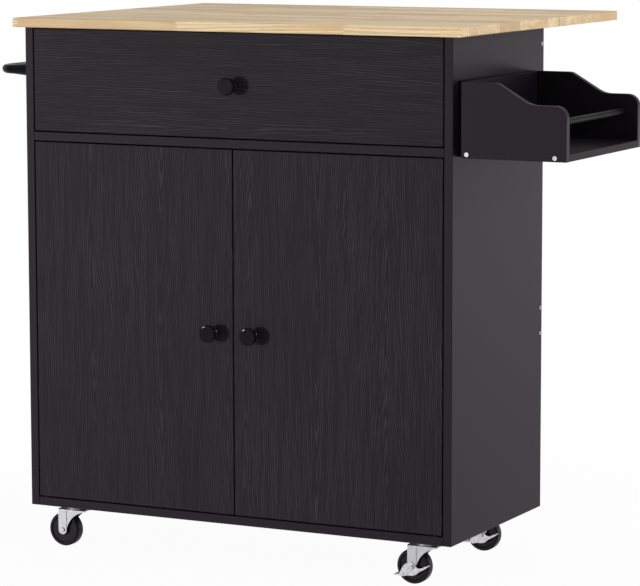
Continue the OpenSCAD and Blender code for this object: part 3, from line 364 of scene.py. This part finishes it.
def hardboard(name):
    """Dark lacquered hardboard with pressed fibres."""
    n = material_nodes(name)
    at = n.place()
    flock = n.noise(at, scale=160.0, detail=5.0, roughness=0.7)
    cloud = n.noise(at, scale=9.0)
    colour = n.mix(flock, HARD_DARK, HARD_LIGHT)
    colour = n.mix(n.math("MULTIPLY", cloud, 0.4), colour, HARD_CLOUD)
    rough = n.span(flock, 0.2, 0.8, to_low=0.5, to_high=0.72)
    return n.surface(Base_Color=colour, Roughness=rough, Specular_IOR_Level=0.25,
                     Normal=n.bump(flock, distance=0.00012, strength=0.7))


def shaded(colour, share):
    return tuple(channel * share for channel in colour)


def plated_steel(name, colour, rough, stamped=0.0):
    """Zinc-plated steel: drawing lines, cloudy plating, fine marks and, where stamped, dents."""
    n = material_nodes(name)
    at = n.place()
    lines = n.noise(at, stretch("z", across=1500.0, along=40.0), roughness=0.6)
    cloud = n.noise(at, scale=110.0, detail=3.0, roughness=0.6)
    spangle = n.noise(at, scale=420.0)
    marks = n.span(n.noise(at, scale=(900.0, 260.0, 700.0)), 0.62, 0.74)
    worn = n.total((lines, 0.25), (cloud, 0.4), (n.span(spangle, 0.38, 0.62), 0.6 * stamped))
    height = n.total((cloud, 0.05), (lines, 0.05), (spangle, stamped))
    return n.surface(Base_Color=n.mix(worn, colour, shaded(colour, 0.72 - 0.30 * stamped)),
                     Roughness=n.total((marks, 0.12), (cloud, 0.16), base=rough),
                     Metallic=1.0, Normal=n.bump(height, distance=0.0002, strength=0.7))


def coated(name, colour, rough, peel, gloss=0.5, sheen=WHITE):
    """Powder-coated or enamelled piece; peel is the orange peel's cycles per metre."""
    n = material_nodes(name)
    at = n.place()
    skin = n.noise(at, scale=peel, detail=1.5)
    cloud = n.noise(at, scale=25.0)
    tint = n.mix(n.math("MULTIPLY", cloud, 0.5), colour, shaded(colour, 0.8))
    return n.surface(Base_Color=tint, Roughness=n.total((cloud, 0.08), base=rough),
                     Specular_IOR_Level=gloss, Specular_Tint=sheen,
                     Normal=n.bump(skin, distance=0.00003, strength=0.6))


def moulded(name, colour, rough, gloss=0.4, sheen=WHITE):
    """Moulded nylon or plastic with a faint flow pattern."""
    n = material_nodes(name)
    at = n.place()
    flow = n.noise(at, scale=(70.0, 70.0, 40.0), distortion=0.6)
    skin = n.noise(at, scale=1400.0, detail=1.0)
    return n.surface(Base_Color=n.mix(flow, colour, shaded(colour, 0.82)),
                     Roughness=n.total((flow, 0.12), base=rough),
                     Specular_IOR_Level=gloss, Specular_Tint=sheen,
                     Normal=n.bump(skin, distance=0.00002, strength=0.6))


# ---- which piece wears what ----

CORNERS = ("front_left", "front_right", "rear_left", "rear_right")

FINISHES = {
    # material: (function, its settings, pieces)
    "board_grain_z": (
        grained_board,
        dict(grain="z", dark=BOARD_DARK, light=BOARD_LIGHT, shift=(0.05, 0.0, 0.0)),
        ["left_door"]),
    "board_grain_z2": (
        grained_board,
        dict(grain="z", dark=BOARD_DARK, light=BOARD_LIGHT, shift=(1.8, 0.4, 3.1)),
        ["right_door"]),
    "board_grain_x": (
        grained_board,
        dict(grain="x", dark=BOARD_DARK, light=BOARD_LIGHT, ridges=0.9, shift=(0.0, 0.0, 0.07),
             arch_width=0.21, lean=0.3, pitch=255.0),
        ["drawer_front"]),
    "board_fine_z": (
        grained_board, dict(grain="z", dark=FINE_DARK, light=FINE_LIGHT, ridges=0.015),
        ["left_side_panel", "right_side_panel"]),
    "board_fine_x": (
        grained_board, dict(grain="x", dark=FINE_DARK, light=FINE_LIGHT, ridges=0.3),
        ["bottom_board", "divider_rail", "top_front_rail", "rear_rails", "shelf",
         "drawer_back"]),
    "board_fine_y": (
        grained_board, dict(grain="y", dark=FINE_DARK, light=FINE_LIGHT, ridges=0.3),
        ["drawer_sides"]),
    "rack_x": (
        grained_board, dict(grain="x", dark=RACK_DARK, light=RACK_LIGHT, ridges=0.12),
        ["rack_front_panel", "rack_rear_panel"]),
    # Painted shade: the rack's back and bottom boards get a darker dark colour and less gloss
    # than the rack panels, standing in for the shade inside the rack.
    "rack_y": (
        grained_board,
        dict(grain="y", dark=BOARD_DARK, light=RACK_LIGHT, ridges=0.2, gloss=0.05),
        ["rack_back_board", "rack_bottom_board"]),
    "wood": (glued_wood, {}, ["fixed_top", "drop_leaf"]),
    "hardboard": (hardboard, {}, ["back_panels", "drawer_bottom"]),
    "bright_steel": (
        plated_steel, dict(colour=(0.25, 0.25, 0.26), rough=0.33),
        ["wood_screws", "leaf_screws", "shelf_pins", "drawer_knob_screw", "left_knob_screw",
         "right_knob_screw", "left_strike_plate", "right_strike_plate"]),
    "zinc_steel": (
        plated_steel, dict(colour=(0.245, 0.245, 0.253), rough=0.42),
        ["hinge_top_plates", "hinge_pins", "hinge_leaf_plates", "bracket_wall_arms",
         "bracket_leaf_arms", "bracket_struts",
         *(corner + part for corner in CORNERS for part in ("_fork", "_axle"))]),
    # Painted shade: the caster plates are a darker copy of the zinc steel, standing in for the
    # shade under the cabinet.
    "plate_steel": (
        plated_steel, dict(colour=(0.16, 0.16, 0.168), rough=0.42), ["caster_plates"]),
    "brake_steel": (
        plated_steel, dict(colour=(0.36, 0.36, 0.37), rough=0.34, stamped=1.0),
        ["front_right_brake", "rear_right_brake"]),
    "slide_steel": (
        coated, dict(colour=(0.72, 0.72, 0.71), rough=0.35, peel=700.0),
        ["slide_channels", "drawer_runners"]),
    "nylon": (
        moulded, dict(colour=(0.74, 0.74, 0.71), rough=0.45),
        ["channel_rollers", "runner_rollers"]),
    "dark_plastic": (
        moulded, dict(colour=(0.005, 0.005, 0.0052), rough=0.55, gloss=0.1),
        ["door_pivot_pins", "door_catches"]),
    "gloss_paint": (
        coated,
        dict(colour=(0.0014, 0.0012, 0.0015), rough=0.05, peel=140.0, gloss=0.07,
             sheen=BOARD_SHEEN),
        ["towel_bar"]),
    "knob_gloss": (
        coated,
        dict(colour=(0.0042, 0.0036, 0.0043), rough=0.04, peel=140.0, gloss=0.085,
             sheen=BOARD_SHEEN),
        ["drawer_knob", "left_door_knob", "right_door_knob"]),
    "wheel": (
        moulded,
        dict(colour=(0.0046, 0.0041, 0.0048), rough=0.42, gloss=0.10, sheen=BOARD_SHEEN),
        [corner + "_wheel" for corner in CORNERS]),
    "rod": (
        coated,
        dict(colour=(0.0030, 0.0027, 0.0031), rough=0.42, peel=300.0, gloss=0.04,
             sheen=BOARD_SHEEN),
        ["rack_rod"]),
}


def dress(nodes):
    for name, (make, settings, pieces) in FINISHES.items():
        material = make(name, **settings)
        for piece in pieces:
            if not nodes[piece].material_slots:
                nodes[piece].data.materials.append(None)
            for material_slot in nodes[piece].material_slots:
                material_slot.material = material


# ---- stage ----

def floor_material():
    """White floor that keeps a soft shadow near the object and fades to plain white."""
    n = material_nodes("floor")
    flat = n.scaled(n.place(), (1.0, 1.0, 0.0))
    away = n.add("ShaderNodeVectorMath", {0: flat}, operation="LENGTH").outputs["Value"]
    far = n.span(away, FADE_FROM, FADE_TO)
    mirrored = n.add("ShaderNodeLightPath").outputs["Is Glossy Ray"]
    strength = n.total((mirrored, FLOOR_GLEAM), base=1.0)
    lit = n.add("ShaderNodeBsdfDiffuse", {"Color": FLOOR_GREY})
    white = n.add("ShaderNodeEmission", {"Color": WHITE, "Strength": strength})
    share = n.math("MULTIPLY", n.seen(), n.span(far, 0.0, 1.0, NEAR_WHITE, 1.0, smooth=False))
    return n.finish(n.add("ShaderNodeMixShader", {
        0: share, 1: lit.outputs[0], 2: white.outputs[0]}))


def build_floor():
    bpy.ops.mesh.primitive_circle_add(vertices=FLOOR_SIDES, radius=FLOOR_RADIUS,
                                      fill_type="NGON")
    floor = bpy.context.object
    floor.name = "floor"
    floor.data.materials.append(floor_material())


def build_world():
    """A backdrop that looks plain white, and lights the object more softly than that."""
    n = Nodes(bpy.data.worlds.new("studio"), "ShaderNodeOutputWorld")
    soft = n.add("ShaderNodeBackground", {"Color": WHITE, "Strength": WORLD_LIGHT})
    white = n.add("ShaderNodeBackground", {"Color": WHITE, "Strength": 1.0})
    bpy.context.scene.world = n.finish(n.add("ShaderNodeMixShader", {
        0: n.seen(), 1: soft.outputs[0], 2: white.outputs[0]}))


def build_lamps():
    for name, (place, aim, size, power, colour) in LAMPS.items():
        data = bpy.data.lights.new(name, "AREA")
        data.shape = "RECTANGLE"
        data.size, data.size_y = size
        data.energy = power
        data.color = colour
        lamp = bpy.data.objects.new(name, data)
        bpy.context.scene.collection.objects.link(lamp)
        lamp.location = place
        lamp.rotation_euler = (Vector(aim) - Vector(place)).to_track_quat("-Z", "Y").to_euler()


def build_camera():
    yaw, pitch, roll = (math.radians(a) for a in (CAMERA_YAW, CAMERA_PITCH, CAMERA_ROLL))
    right = Vector((math.cos(yaw), math.sin(yaw), 0.0))
    ahead = Vector((-math.sin(yaw) * math.cos(pitch), math.cos(yaw) * math.cos(pitch),
                    -math.sin(pitch)))
    up = right.cross(ahead)
    right, up = (right * math.cos(roll) + up * math.sin(roll),
                 up * math.cos(roll) - right * math.sin(roll))
    data = bpy.data.cameras.new("camera")
    data.sensor_width = SENSOR
    data.lens = FOCAL_PX / IMAGE_W * SENSOR
    data.clip_start, data.clip_end = CLIP_NEAR, CLIP_FAR
    camera = bpy.data.objects.new("camera", data)
    turn = Matrix((right, up, -ahead)).transposed().to_4x4()
    camera.matrix_world = Matrix.Translation(CAMERA_AT) @ turn
    bpy.context.scene.collection.objects.link(camera)
    bpy.context.scene.camera = camera


for leftover in list(bpy.data.objects):
    bpy.data.objects.remove(leftover)
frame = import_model()

dress(frame["nodes"])
build_floor()
build_world()
build_lamps()
build_camera()
bpy.context.scene.view_settings.view_transform = "Standard"
